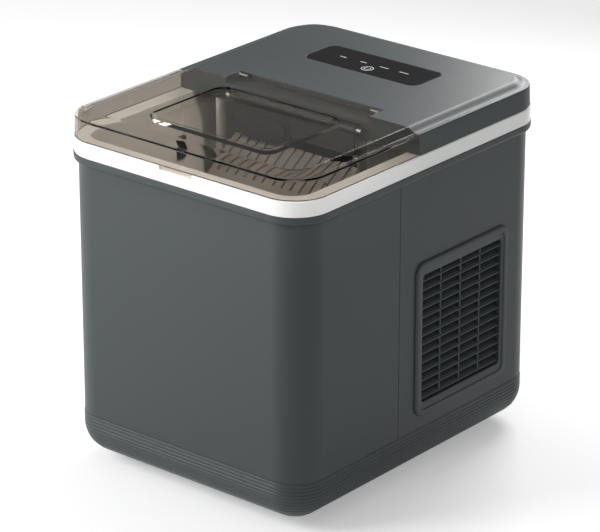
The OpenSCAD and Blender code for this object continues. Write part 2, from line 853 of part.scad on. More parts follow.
module suction_line() color(copper) lift(0) {
    pipe([[74, 92, 245], [74, 92, 162], [16, 92, 162], [16, 92, 125]], 2.9);
    pipe([[16, 92, 55], [16, 92, 44], [-1, 92, 44]], 2.9);
}

module hot_gas_valve() color("#a8813f") lift(0)
    translate([valve_at[0], valve_at[1], 112]) {
        cylinder(h = 16, r = 8);
        translate([0, 15, 8]) cube([18, 22, 16], center = true);
    }

module pump_housing() color("#3a3d40") lift(pump_c[1])
    translate([pump_c[0], 0, 0]) {
        difference() {
            union() {
                y_rod(tank_back + liner_t, 2, 17);
                y_rod(tank_back - 2, tank_back + liner_t + 1, 4);
                y_rod(2, 28, 13);
                translate([0, pump_out, 0]) cylinder(h = 27, r = 2.5);
            }
            y_rod(tank_back - 3, tank_back + 6, 2.8);
            y_rod(tank_back + liner_t + 2, 0, 14);
            translate([0, pump_out, 0]) cylinder(h = 40, r = 1.6);
            y_rod(-2, 18, 1.5 + running);
        }
    }

module pump_impeller() color("#e0ddd2") lift(pump_c[1])
    translate([pump_c[0], 0, 0]) {
        y_rod(-3.2, -1.6, 12.5);
        y_rod(-5, 16, 1.5);
        for (a = [0:60:300])
            rotate([0, a, 0]) translate([7.4, -5, 0]) cube([9, 4, 1.2], center = true);
        y_rod(-7, -1.6, 3.2);
    }

module pump_hose() color("#e8e8e4") lift(0) {
    foot = [pump_c[0], pump_out, 130];
    elbows = [[pump_c[0], pump_out, 257.5], [pump_c[0], 12, 257.5], [-55, 12, 257.5]];
    spout = [-55, 12, 250.8];
    difference() {
        pipe(concat([foot], elbows, [spout]), hose_r);
        pipe(concat([foot - [0, 0, 5]], elbows, [spout - [0, 0, 5]]), 2.5);
    }
}

module drain_hose() color("#d8d8d2") lift(0) {
    x = drain_from[0];
    y = drain_from[1];
    z = drain_c[1];
    start = [x, y, tank_floor - liner_t];
    elbows = [[x, y, z], [x, drain_run_y, z], [drain_c[0], drain_run_y, z]];
    stop = [drain_c[0], drain_end_y, z];
    difference() {
        pipe(concat([start], elbows, [stop]), 5, 7);
        pipe(concat([start + [0, 0, 5]], elbows, [stop + [0, 5, 0]]), 3.4, 7);
    }
}

module drain_spigot() color(charcoal) lift(drain_c[1])
    translate([drain_c[0], 0, 0])
        difference() {
            union() {
                y_rod(drain_end_y, body_y, 6.4);
                y_rod(inner_y - 2, inner_y, 10);
            }
            y_rod(drain_end_y - 3, body_y + 1, 4);
        }

module drain_plug() color("#303335") lift(drain_c[1])
    translate([drain_c[0], 0, 0]) {
        y_rod(drain_end_y + 1.5, body_y + 0.5, 4 - running);
        y_rod(body_y + 0.3, body_y + 2.2, 9);
        translate([0, body_y + 2.6, 0]) cube([3, 1.8, 14], center = true);
    }

module level_float() color("#f2f0ea") lift(0)
    translate([float_at[0], float_at[1], tank_floor + 6.3])
        difference() {
            cylinder(h = 12, r = 8);
            translate([0, 0, -1]) cylinder(h = 20, r = 2.9);
        }

module main_board() color("#2e6b3f") lift(0) {
    box([-30, 128, 172], [60, 129.6, 236]);
    // transformer, relay, smoothing capacitor and sockets on the board
    box([-24, 108, 180], [0, 128, 206]);
    box([8, 114, 180], [26, 128, 196]);
    translate([38, 0, 190]) y_rod(106, 128, 6);
    for (x = [-20, 0, 20, 40]) box([x, 120, 224], [x + 12, 128, 231]);
}

module board_bracket() color("#d9d9d6") lift(0) {
    box([-34, 134, 168], [64, 136, 240]);
    for (x = [-26, 56], z = [176, 232]) {
        translate([x, 0, z]) y_rod(129.6, 134 + eps, 3);
        translate([x, 0, z]) y_rod(136 - eps, inner_y, 4);
    }
}

module cord_gland() color("#202225") lift(gland_c[1])
    translate([gland_c[0], 0, 0])
        difference() {
            union() {
                y_rod(body_y, body_y + 3, 10);
                y_rod(inner_y - 6, body_y + 1, 6.9);
                y_rod(inner_y - 5, inner_y, 10);
            }
            y_rod(inner_y - 10, body_y + 5, 3.7);
        }

module base_screws() color(steel) lift(0)
    four(boss_at) {
        translate([0, 0, -0.6]) cylinder(h = 1.6, r = 3.2);
        translate([0, 0, 0.5]) cylinder(h = 22, r = 1.4);
    }

module cover_screws() color(steel) lift(flange_z)
    for (x = [-1, 1], y = cover_post[1])
        translate([x * cover_post[0], y, 0]) {
            translate([0, 0, -flange_t - 1.8]) cylinder(h = 1.8, r = 3.2);
            translate([0, 0, -flange_t - 1]) cylinder(h = 13, r = 1.4);
        }

module rubber_feet() color("#1c1d1f") lift(-foot_h)
    four(foot_at) {
        cylinder(h = 2, r1 = 8, r2 = 9);
        translate([0, 0, 2 - eps]) cylinder(h = foot_h + 1.2 - 2 + eps, r = 9);
    }

// ---- moving pieces ----

module lid() color(smoke) lift(0) {
    pan = [recess[0] + 2 * lid_t, recess[1] + 2 * lid_t];
    back = cover_y - lid_gap;
    difference() {
        union() {
            intersection() {
                translate([0, 0, flange_z]) hood_shell(lid_t);
                box([-big, -big, flange_z + skirt_gap], [big, back, big]);
            }
            translate([recess_c[0], recess_c[1], top_z - recess_depth - lid_t])
                slab(pan[0], pan[1], recess_depth + 1, recess_r + lid_t);
            // hinge tab and knuckle
            box([-tab_x, back - 6, top_z - lid_t], [tab_x, hinge_y, top_z]);
            translate([0, hinge_y, hinge_z]) x_rod(-tab_x, tab_x, knuckle_r);
            // finger pull over the band
            box([-pull_x, -pull_y, pull_z], [pull_x, -pull_y + 1.4, flange_z + 2]);
        }
        translate([recess_c[0], recess_c[1], top_z - recess_depth])
            slab(recess[0], recess[1], 20, recess_r);
        translate([0, hinge_y, hinge_z]) {
            x_rod(-tab_x - 1, -tab_x + 9, pin_r);
            x_rod(tab_x - 9, tab_x + 1, pin_r);
        }
    }
}

module lid_hinge_pins() color(steel) lift(0)
    translate([0, hinge_y, hinge_z])
        for (x = [-1, 1]) translate([x * (tab_x - 2), 0, 0]) x_rod(-7, 7, pin_r);

module ice_basket() color(graphite) lift(0) {
    t = 2;
    w = 2 * basket_x;
    d = basket_back - basket_front;
    mid = (basket_back + basket_front) / 2;
    difference() {
        translate([0, mid, basket_z]) slab(w, d, basket_rim - basket_z, 12);
        translate([0, mid, basket_z + t]) slab(w - 2 * t, d - 2 * t, 100, 10);
        // drain slots in the floor
        for (i = [-9:9])
            translate([i * 9.6, mid, basket_z]) cube([2.4, d - 24, 10], center = true);
        // low back wall under the ramp, finger grips at the sides
        box([-ramp_x - 4, basket_back - 5, 198], [ramp_x + 4, basket_back + 5, 300]);
        for (x = [-1, 1])
            translate([x * basket_x, mid, basket_rim - 9]) rotate([0, 90, 0])
                linear_extrude(12, center = true) rounded_rect(9, 34, 4.4);
    }
}

module water_tray() color("#cfd2d2") lift(0) {
    t = 2;
    back = tray_axis[0] - 1;
    difference() {
        union() {
            difference() {
                box([-tray_x, tray_front, tray_floor], [tray_x, back, tray_axis[1]]);
                box([-tray_x + t, tray_front + t, tray_floor + t],
                    [tray_x - t, back - t, tray_axis[1] + 1]);
            }
            translate([0, tray_axis[0], tray_axis[1]]) x_rod(-tray_x, tray_x, 5);
        }
        box([-tray_x + t, 0, tray_floor + t], [tray_x - t, back - t, tray_axis[1] + 10]);
        translate([0, tray_axis[0], tray_axis[1]]) x_rod(-tray_x - 1, tray_x + 1, shaft_r);
    }
}

module tray_shaft() color(steel) lift(0)
    translate([0, tray_axis[0], tray_axis[1]]) x_rod(-66, 73, shaft_r);

module ice_pusher() color("#3f4244") lift(0)
    difference() {
        union() {
            translate([0, pusher_axis[0], pusher_axis[1]]) x_rod(-60, 60, 3.4);
            box([-58, -14.5, 242], [58, -12.5, pusher_axis[1]]);
            // rounded paddle on the left half
            translate([-29, 0, 244.8])
                rotate([90, 0, 0])
                    translate([0, 0, 12.5]) {
                        slab(54, 24.4, 2.6, 11);
                        slab(46, 16.4, 4.4, 8);
                    }
        }
        translate([0, pusher_axis[0], pusher_axis[1]]) x_rod(-61, 61, pusher_shaft_r);
    }

module pusher_shaft() color(steel) lift(0)
    translate([0, pusher_axis[0], pusher_axis[1]]) x_rod(-64.8, 64.8, pusher_shaft_r);

base_pan();
front_housing();
rear_housing();
rim_collar();
top_frame();
right_vent_grille();
left_vent_grille();
top_cover();
control_panel();
control_board();
bin_liner();
foam_jacket();
ice_ramp();
evaporator();
evaporator_coil();
evaporator_bridge();
tray_motor();
base_plate();
compressor();
compressor_grommets();
compressor_bolts();
accumulator();
condenser_fins();
condenser_tube();
fan_shroud();
fan_motor();
filter_drier();
capillary_tube();
discharge_line();
liquid_line();
suction_line();
hot_gas_valve();
pump_housing();
pump_hose();
drain_hose();
drain_spigot();
float_stem();
ice_sensors();
main_board();
board_bracket();
cord_gland();
base_screws();
cover_screws();
rubber_feet();
lid();
lid_hinge_pins();
ice_basket();
water_tray();
tray_shaft();
ice_pusher();
pusher_shaft();
fan_blade();
pump_impeller();
level_float();
drain_plug();
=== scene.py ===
"""Countertop ice maker: the looks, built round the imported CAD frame.

Every length is in metres and comes from the frame's own boxes or from the named values below.
"""

import math

import bmesh
import bpy
from mathutils import Matrix, Vector


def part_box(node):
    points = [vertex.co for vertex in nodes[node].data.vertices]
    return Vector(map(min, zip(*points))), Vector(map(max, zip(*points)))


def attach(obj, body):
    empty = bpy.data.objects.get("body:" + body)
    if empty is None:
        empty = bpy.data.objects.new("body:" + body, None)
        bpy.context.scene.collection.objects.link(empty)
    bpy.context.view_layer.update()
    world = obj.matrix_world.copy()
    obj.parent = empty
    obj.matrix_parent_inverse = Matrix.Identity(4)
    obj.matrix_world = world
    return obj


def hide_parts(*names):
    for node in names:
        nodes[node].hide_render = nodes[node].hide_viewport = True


MM = 0.001

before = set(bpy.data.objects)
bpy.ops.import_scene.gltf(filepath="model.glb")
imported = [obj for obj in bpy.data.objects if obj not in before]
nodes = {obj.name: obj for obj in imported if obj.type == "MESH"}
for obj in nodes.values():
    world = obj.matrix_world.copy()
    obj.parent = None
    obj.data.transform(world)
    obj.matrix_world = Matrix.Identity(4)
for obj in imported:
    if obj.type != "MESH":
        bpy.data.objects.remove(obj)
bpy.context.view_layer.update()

# ---- places taken from the frame ----

collar_lo, collar_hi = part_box("rim_collar")
band_lo, band_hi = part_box("top_frame")
front_lo, front_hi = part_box("front_housing")
rear_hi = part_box("rear_housing")[1]
pan_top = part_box("base_pan")[1].z
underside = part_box("base_pan")[0].z
lid_lo, lid_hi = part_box("lid")
cover_lo, cover_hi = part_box("top_cover")
panel_lo, panel_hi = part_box("control_panel")
grille_lo, grille_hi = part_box("right_vent_grille")
knuckle_lo, knuckle_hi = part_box("lid_hinge_pins")

body_w = front_hi.x - front_lo.x
body_d = rear_hi.y - front_lo.y
body_r = 26.8 * MM
wall = 2.4 * MM
seam_gap = 0.4 * MM
seam_y = front_hi.y + seam_gap / 2
collar_w = collar_hi.x - collar_lo.x
collar_d = collar_hi.y - collar_lo.y
collar_r = 30.5 * MM
band_w = band_hi.x - band_lo.x
band_d = band_hi.y - band_lo.y
band_r = 30 * MM
hood_w = cover_hi.x - cover_lo.x
hood_d = 2 * cover_hi.y
hood_r = 29.5 * MM
flange_z = band_hi.z
top_z = lid_hi.z
hood_rise = 3.6 * MM
hood_wall_h = top_z - flange_z - hood_rise
hood_draft = 0.7 * MM
ledge_w = 3.0 * MM
slope_w = 8.7 * MM
lid_t = 2.2 * MM
cover_t = 2.4 * MM
lid_back = -10.3 * MM
cover_front = -9.9 * MM
tab_x = 68 * MM
hinge = Vector((0, (knuckle_lo.y + knuckle_hi.y) / 2, (knuckle_lo.z + knuckle_hi.z) / 2))
knuckle_r = 2.8 * MM
recess_w, recess_d, recess_depth = 116 * MM, 83 * MM, 4 * MM
recess_y = -68.5 * MM
recess_r = 9 * MM
floor_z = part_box("rubber_feet")[0].z


# ---- camera ----

def add_camera():
    """The photograph's own viewpoint."""
    data = bpy.data.cameras.new("camera")
    data.sensor_width = 36
    data.lens = 205.2
    camera = bpy.data.objects.new("camera", data)
    bpy.context.scene.collection.objects.link(camera)
    back = Vector((0.59209237, -0.71110671, 0.37914887)).normalized()
    right = Vector((0, 0, 1)).cross(back).normalized()
    up = back.cross(right)
    turn = Matrix((right, up, back)).transposed().to_4x4()
    camera.matrix_world = Matrix.Translation((1.52859, -1.84167, 1.12239)) @ turn
    bpy.context.scene.camera = camera


add_camera()


# ---- materials ----

def new_material(name):
    """A material with its node tree and shader."""
    material = bpy.data.materials.new(name)
    material.use_nodes = True
    tree = material.node_tree
    shader = tree.nodes["Principled BSDF"]
    return material, tree, shader


def object_noise(tree, scale, detail=3.0, stretch=(1, 1, 1)):
    """Noise in object coordinates."""
    coords = tree.nodes.new("ShaderNodeTexCoord")
    mapping = tree.nodes.new("ShaderNodeMapping")
    mapping.inputs["Scale"].default_value = stretch
    noise = tree.nodes.new("ShaderNodeTexNoise")
    noise.inputs["Scale"].default_value = scale
    noise.inputs["Detail"].default_value = detail
    tree.links.new(coords.outputs["Object"], mapping.inputs["Vector"])
    tree.links.new(mapping.outputs["Vector"], noise.inputs["Vector"])
    return noise.outputs["Fac"]


def ramp(tree, fac, low, high, start=0.35, end=0.65):
    """Maps a factor from its usual range to low and high."""
    node = tree.nodes.new("ShaderNodeMapRange")
    node.inputs["From Min"].default_value = start
    node.inputs["From Max"].default_value = end
    node.inputs["To Min"].default_value = low
    node.inputs["To Max"].default_value = high
    tree.links.new(fac, node.inputs["Value"])
    return node.outputs["Result"]


def tinted(tree, fac, colour, spread):
    """The colour, a little darker or lighter with the factor."""
    mix = tree.nodes.new("ShaderNodeMix")
    mix.data_type = "RGBA"
    mix.inputs["A"].default_value = (*[c * (1 - spread) for c in colour], 1)
    mix.inputs["B"].default_value = (*[min(1, c * (1 + spread)) for c in colour], 1)
    tree.links.new(fac, mix.inputs["Factor"])
    return mix.outputs["Result"]


def bump(tree, shader, height, strength, distance):
    """Joins a height to the shader's normal."""
    node = tree.nodes.new("ShaderNodeBump")
    node.inputs["Strength"].default_value = strength
    node.inputs["Distance"].default_value = distance
    tree.links.new(height, node.inputs["Height"])
    tree.links.new(node.outputs["Normal"], shader.inputs["Normal"])


def plastic(
    name,
    colour,
    rough=0.4,
    spread=0.05,
    grain=2600,
    relief=0.12,
    coat=0.0,
    gleam=0.5,
    ior=1.5,
    uneven=0.045,
):
    """Moulded plastic: faint colour drift, uneven gloss and a fine spark-eroded grain."""
    material, tree, shader = new_material(name)
    drift = object_noise(tree, 14, 2)
    tree.links.new(tinted(tree, drift, colour, spread), shader.inputs["Base Color"])
    gloss = object_noise(tree, 60, 3)
    tree.links.new(ramp(tree, gloss, rough - uneven, rough + uneven), shader.inputs["Roughness"])
    bump(tree, shader, object_noise(tree, grain, 2), relief, 0.00004)
    shader.inputs["Coat Weight"].default_value = coat
    shader.inputs["Coat Roughness"].default_value = 0.12
    shader.inputs["Specular IOR Level"].default_value = gleam
    shader.inputs["IOR"].default_value = ior
    return material


def metal(name, colour, rough=0.3, stretch=(1, 1, 30), scale=90, spread=0.1):
    """Bare or plated metal with drawing lines and patchy tarnish."""
    material, tree, shader = new_material(name)
    patches = object_noise(tree, 35, 4)
    tree.links.new(tinted(tree, patches, colour, spread), shader.inputs["Base Color"])
    lines = object_noise(tree, scale, 4, stretch)
    tree.links.new(ramp(tree, lines, rough - 0.08, rough + 0.12), shader.inputs["Roughness"])
    bump(tree, shader, lines, 0.15, 0.00005)
    shader.inputs["Metallic"].default_value = 1.0
    return material


def smoked_plastic(name):
    """Clear smoked plastic: refracting and tinted, and it lets the lamps reach what it covers."""
    material, tree, shader = new_material(name)
    drift = object_noise(tree, 9, 2)
    tree.links.new(tinted(tree, drift, (0.545, 0.508, 0.466), 0.02), shader.inputs["Base Color"])
    tree.links.new(ramp(tree, object_noise(tree, 80, 2), 0.0, 0.02), shader.inputs["Roughness"])
    shader.inputs["Transmission Weight"].default_value = 1.0
    shader.inputs["IOR"].default_value = 1.14
    path = tree.nodes.new("ShaderNodeLightPath")
    clear = tree.nodes.new("ShaderNodeBsdfTransparent")
    clear.inputs["Color"].default_value = (0.94, 0.93, 0.91, 1)
    mix = tree.nodes.new("ShaderNodeMixShader")
    out = tree.nodes["Material Output"]
    tree.links.new(path.outputs["Is Shadow Ray"], mix.inputs["Fac"])
    tree.links.new(shader.outputs["BSDF"], mix.inputs[1])
    tree.links.new(clear.outputs["BSDF"], mix.inputs[2])
    tree.links.new(mix.outputs["Shader"], out.inputs["Surface"])
    return material


def foam_material(name):
    """Expanded foam with visible cells."""
    material, tree, shader = new_material(name)
    cells = tree.nodes.new("ShaderNodeTexVoronoi")
    cells.inputs["Scale"].default_value = 900
    coords = tree.nodes.new("ShaderNodeTexCoord")
    tree.links.new(coords.outputs["Object"], cells.inputs["Vector"])
    tree.links.new(
        tinted(tree, cells.outputs["Distance"], (0.74, 0.69, 0.55), 0.12),
        shader.inputs["Base Color"],
    )
    shader.inputs["Roughness"].default_value = 0.9
    bump(tree, shader, cells.outputs["Distance"], 0.5, 0.0004)
    return material


def board_material(name):
    """Green solder mask with faint copper tracks under it."""
    material, tree, shader = new_material(name)
    coords = tree.nodes.new("ShaderNodeTexCoord")
    tracks = tree.nodes.new("ShaderNodeTexBrick")
    tracks.inputs["Scale"].default_value = 160
    tracks.inputs["Mortar Size"].default_value = 0.012
    tracks.inputs["Color1"].default_value = (0.012, 0.09, 0.035, 1)
    tracks.inputs["Color2"].default_value = (0.016, 0.12, 0.045, 1)
    tracks.inputs["Mortar"].default_value = (0.05, 0.2, 0.08, 1)
    tree.links.new(coords.outputs["Object"], tracks.inputs["Vector"])
    tree.links.new(tracks.outputs["Color"], shader.inputs["Base Color"])
    tree.links.new(ramp(tree, object_noise(tree, 70), 0.3, 0.4), shader.inputs["Roughness"])
    return material


charcoal = plastic(
    "charcoal_plastic", (0.044, 0.053, 0.055), 0.38, 0.01, relief=0.08, gleam=0.35, uneven=0.01
)
white_gloss = plastic("white_gloss", (0.84, 0.84, 0.83), 0.22, 0.01, relief=0.03, coat=0.4)
cream_inner = plastic("inner_white", (0.74, 0.73, 0.70), 0.4, 0.02)
graphite = plastic("graphite_plastic", (0.06, 0.06, 0.062), 0.38, 0.06)
ramp_grey = plastic("ramp_grey", (0.18, 0.17, 0.158), 0.45, 0.03)
dark_nylon = plastic("dark_nylon", (0.022, 0.023, 0.025), 0.45, 0.1)
pale_plastic = plastic("pale_grey_plastic", (0.45, 0.46, 0.47), 0.3, 0.04)
panel_black = plastic(
    "panel_black", (0.006, 0.006, 0.007), 0.2, 0.2, relief=0.01, ior=1.12, uneven=0.02
)
rubber = plastic("rubber", (0.015, 0.015, 0.016), 0.75, 0.2, grain=1500, relief=0.3)
hose_clear = plastic("silicone_hose", (0.6, 0.6, 0.56), 0.35, 0.05)
enamel = plastic("black_enamel", (0.012, 0.012, 0.013), 0.22, 0.1, grain=500, relief=0.08, coat=0.6)
print_white = plastic("panel_print", (0.75, 0.77, 0.78), 0.4, 0.02, relief=0.02)
steel = metal("zinc_steel", (0.55, 0.56, 0.58), 0.32)
nickel = metal("nickel_plate", (0.66, 0.63, 0.58), 0.18)
copper = metal("drawn_copper", (0.78, 0.36, 0.2), 0.3)
brass = metal("brass", (0.72, 0.52, 0.22), 0.28)
aluminium = metal("aluminium_fin", (0.7, 0.71, 0.72), 0.35, (1, 30, 1))
smoked = smoked_plastic("smoked_plastic")
foam = foam_material("foam")
board = board_material("circuit_board")


# ---- mesh helpers ----

ARC = 16


def finish_mesh(name, bm, material, smooth=True):
    """Closes the working mesh into an object of the scene."""
    bmesh.ops.remove_doubles(bm, verts=bm.verts, dist=1e-7)
    bmesh.ops.recalc_face_normals(bm, faces=bm.faces)
    mesh = bpy.data.meshes.new(name)
    bm.to_mesh(mesh)
    bm.free()
    for polygon in mesh.polygons:
        polygon.use_smooth = smooth
    if material is not None:
        mesh.materials.append(material)
    obj = bpy.data.objects.new(name, mesh)
    bpy.context.scene.collection.objects.link(obj)
    return obj


def outline(w, d, r, arc=ARC):
    """Points of a rounded rectangle with their outward directions, anticlockwise."""
    points = []
    for k, (sx, sy) in enumerate(((1, 1), (-1, 1), (-1, -1), (1, -1))):
        centre = Vector((sx * (w / 2 - r), sy * (d / 2 - r)))
        for i in range(arc + 1):
            a = math.radians(90 * k + 90 * i / arc)
            n = Vector((math.cos(a), math.sin(a)))
            points.append((centre + n * r, n))
    return points


def part_outline(w, d, r, y, front, arc=ARC):
    """The stretch of the outline in front of y, or behind it, ending at y on both sides."""
    points = outline(w, d, r, arc)
    side = -1 if front else 1
    kept = [p for p in points if (p[0].y - y) * side > 0]
    # start from the side where the loop enters the kept stretch
    start = next(
        i
        for i, p in enumerate(points)
        if (points[i - 1][0].y - y) * side <= 0 < (p[0].y - y) * side
    )
    kept = [points[(start + i) % len(points)] for i in range(len(kept))]
    ends = [(Vector((x * w / 2, y)), Vector((x, 0))) for x in (side, -side)]
    return ends[:1] + kept + ends[1:]


def rounded_profile(points, steps=4):
    """A closed outline from (x, y, radius) corners, with each corner turned into an arc."""
    out = []
    count = len(points)
    for i, (x, y, r) in enumerate(points):
        p = Vector((x, y))
        if r <= 0:
            out.append(p)
            continue
        a = (Vector(points[i - 1][:2]) - p).normalized()
        b = (Vector(points[(i + 1) % count][:2]) - p).normalized()
        half = math.acos(max(-1, min(1, a.dot(b)))) / 2
        reach = r / math.tan(half)
        centre = p + (a + b).normalized() * (r / math.sin(half))
        start, stop = p + a * reach - centre, p + b * reach - centre
        turn = math.atan2(start.x * stop.y - start.y * stop.x, start.dot(stop))
        for k in range(steps + 1):
            c, s = math.cos(turn * k / steps), math.sin(turn * k / steps)
            out.append(centre + Vector((start.x * c - start.y * s, start.x * s + start.y * c)))
    return out


def join_rings(bm, rings):
    """Quads between each ring of vertices and the next."""
    for a, b in zip(rings, rings[1:]):
        for k in range(len(a)):
            bm.faces.new((a[k], a[(k + 1) % len(a)], b[(k + 1) % len(a)], b[k]))


def sweep(bm, path, profile, closed_path=True):
    """Carries a closed profile (outward, up) along the path, with caps where the path is open."""
    rings = [
        [bm.verts.new((p.x + n.x * q.x, p.y + n.y * q.x, q.y)) for q in profile] for p, n in path
    ]
    join_rings(bm, rings + rings[:1] if closed_path else rings)
    if not closed_path:
        bm.faces.new(rings[0])
        bm.faces.new(list(reversed(rings[-1])))


def loft(bm, loops):
    """Joins loops of equal length with quads, and closes the two ends."""
    rings = [[bm.verts.new(p) for p in loop] for loop in loops]
    join_rings(bm, rings)
    bm.faces.new(rings[0])
    bm.faces.new(rings[-1])


def loop_at(w, d, r, z, centre=(0, 0), arc=ARC):
    """A rounded rectangle at height z."""
    return [Vector((p.x + centre[0], p.y + centre[1], z)) for p, _ in outline(w, d, r, arc)]


def block(name, lo, hi):
    """Box between two corners, as a cutting tool or a part of a union."""
    bm = bmesh.new()
    bmesh.ops.create_cube(bm, size=1)
    lo, hi = Vector(lo), Vector(hi)
    for v in bm.verts:
        v.co = Vector([lo[i] + (v.co[i] + 0.5) * (hi[i] - lo[i]) for i in range(3)])
    return finish_mesh(name, bm, None)


def rod(name, axis, at, span, r, count=32):
    """Closed cylinder along axis 0, 1 or 2, at a place given in the other two axes."""
    loops = []
    for along in span:
        loop = []
        for i in range(count):
            a = 2 * math.pi * i / count
            point = [at[0] + r * math.cos(a), at[1] + r * math.sin(a)]
            point.insert(axis, along)
            loop.append(Vector(point))
        loops.append(loop)
    bm = bmesh.new()
    loft(bm, loops)
    return finish_mesh(name, bm, None)


def settle(obj):
    """Applies the object's modifiers to its mesh."""
    graph = bpy.context.evaluated_depsgraph_get()
    graph.update()
    mesh = bpy.data.meshes.new_from_object(obj.evaluated_get(graph))
    obj.modifiers.clear()
    obj.data = mesh


def boolean(target, tools, operation="DIFFERENCE"):
    """Cuts the tools from the target, or joins them to it, and removes them."""
    for tool in tools:
        cut = target.modifiers.new("cut", "BOOLEAN")
        cut.operation = operation
        cut.solver = "EXACT"
        cut.object = tool
        settle(target)
        bpy.data.objects.remove(tool)


def soften(obj, width=0.3 * MM, segments=2, angle=35, merge=0.02 * MM, clamp=True):
    """Rounds every sharp edge a little and shades the flats evenly."""
    bm = bmesh.new()
    bm.from_mesh(obj.data)
    bmesh.ops.remove_doubles(bm, verts=bm.verts, dist=merge)
    bmesh.ops.dissolve_limit(bm, angle_limit=math.radians(0.6), verts=bm.verts, edges=bm.edges)
    bm.to_mesh(obj.data)
    bm.free()
    for polygon in obj.data.polygons:
        polygon.use_smooth = True
    bevel = obj.modifiers.new("bevel", "BEVEL")
    bevel.width = width
    bevel.segments = segments
    bevel.limit_method = "ANGLE"
    bevel.angle_limit = math.radians(angle)
    bevel.use_clamp_overlap = clamp
    bevel.harden_normals = False
    settle(obj)
    weighted = obj.modifiers.new("normals", "WEIGHTED_NORMAL")
    weighted.keep_sharp = True
    weighted.weight = 60
    settle(obj)


def piece(obj, body, slot_name, *replaced):
    """Rides the object on a body and hides the CAD nodes that it stands for; the slot name is not
    used.
    """
    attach(obj, body)
    if replaced:
        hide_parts(*replaced)
    return obj


# ---- housing ----

def make_base_pan():
    """Base pan with its lower fillet and the fine ridges round it."""
    fillet = 25 * MM
    rows, pitch, first = 9, 2.8 * MM, 10.5 * MM
    height = pan_top - underside
    outer = []
    steps = 150
    for i in range(steps + 1):
        z = height * i / steps
        if z < first - pitch:
            continue
        inward = fillet - math.sqrt(fillet**2 - (fillet - z) ** 2) if z < fillet else 0
        row = (z - first) / pitch
        ridged = -0.5 <= row <= rows - 0.5
        ridge = 0.42 * MM * abs(math.cos(math.pi * row)) ** 0.8 if ridged else 0
        outer.append(Vector((ridge - inward, underside + z)))
    low = [
        Vector((-fillet + fillet * math.sin(a), underside + fillet - fillet * math.cos(a)))
        for a in [math.radians(4 * k) for k in range(12)]
        if fillet - fillet * math.cos(a) < first - pitch
    ]
    inner_r = fillet - wall
    inner = [
        Vector((-fillet + inner_r * math.sin(a), underside + fillet - inner_r * math.cos(a)))
        for a in [math.radians(90 - 7.5 * k) for k in range(13)]
    ]
    profile = low + outer + [Vector((-wall, pan_top))] + inner
    bm = bmesh.new()
    path = outline(body_w, body_d, body_r, 20)
    rings = [
        [bm.verts.new((p.x + n.x * q.x, p.y + n.y * q.x, q.y)) for p, n in path] for q in profile
    ]
    join_rings(bm, rings)
    bm.faces.new(rings[0])
    bm.faces.new(rings[-1])
    pan = finish_mesh("base_pan_shell", bm, charcoal)
    tools = []
    for x in (-1, 1):
        for y in (-1, 1):
            foot_at = (x * 70 * MM, y * 100 * MM)
            screw_at = (x * 84 * MM, y * 112 * MM)
            seat = (underside - MM, underside + 1.2 * MM)
            sink = (underside - MM, underside + MM)
            tools.append(rod("seat", 2, foot_at, seat, 9.3 * MM, 40))
            tools.append(rod("screw", 2, screw_at, sink, 3.4 * MM, 40))
    boolean(pan, tools)
    mark_sharp(pan)
    return piece(pan, "housing", "charcoal_plastic", "base_pan")


def mark_sharp(obj, angle=40):
    """Smooth shading that breaks only at real edges."""
    for polygon in obj.data.polygons:
        polygon.use_smooth = True
    bm = bmesh.new()
    bm.from_mesh(obj.data)
    for edge in bm.edges:
        if len(edge.link_faces) == 2 and edge.calc_face_angle(0) > math.radians(angle):
            edge.smooth = False
    bm.to_mesh(obj.data)
    bm.free()
    weighted = obj.modifiers.new("normals", "WEIGHTED_NORMAL")
    weighted.keep_sharp = True
    settle(obj)


def wall_profile():
    """The housing wall's section: rounded edges, and the shadow groove under the collar."""
    top = collar_lo.z
    groove = 0.7 * MM
    edge = 0.35 * MM
    return rounded_profile(
        [
            (0, pan_top + 0.05 * MM, edge),
            (0, top - groove, 0.25 * MM),
            (-0.5 * MM, top - groove, 0),
            (-0.5 * MM, top, 0),
            (-wall, top, 0),
            (-wall, pan_top + 0.05 * MM, 0),
        ],
        3,
    )


def make_front_housing():
    """Front wall and corners, up to the seams."""
    bm = bmesh.new()
    path = part_outline(body_w, body_d, body_r, seam_y - seam_gap / 2, True, 20)
    sweep(bm, path, wall_profile(), False)
    shell = finish_mesh("front_housing_shell", bm, charcoal)
    soften_ends(shell)
    return piece(shell, "housing", "charcoal_plastic", "front_housing")


def soften_ends(obj, width=0.3 * MM):
    """Rounds the cut ends of a swept wall."""
    bevel = obj.modifiers.new("bevel", "BEVEL")
    bevel.width = width
    bevel.segments = 2
    bevel.limit_method = "ANGLE"
    bevel.angle_limit = math.radians(60)
    settle(obj)
    mark_sharp(obj, 50)


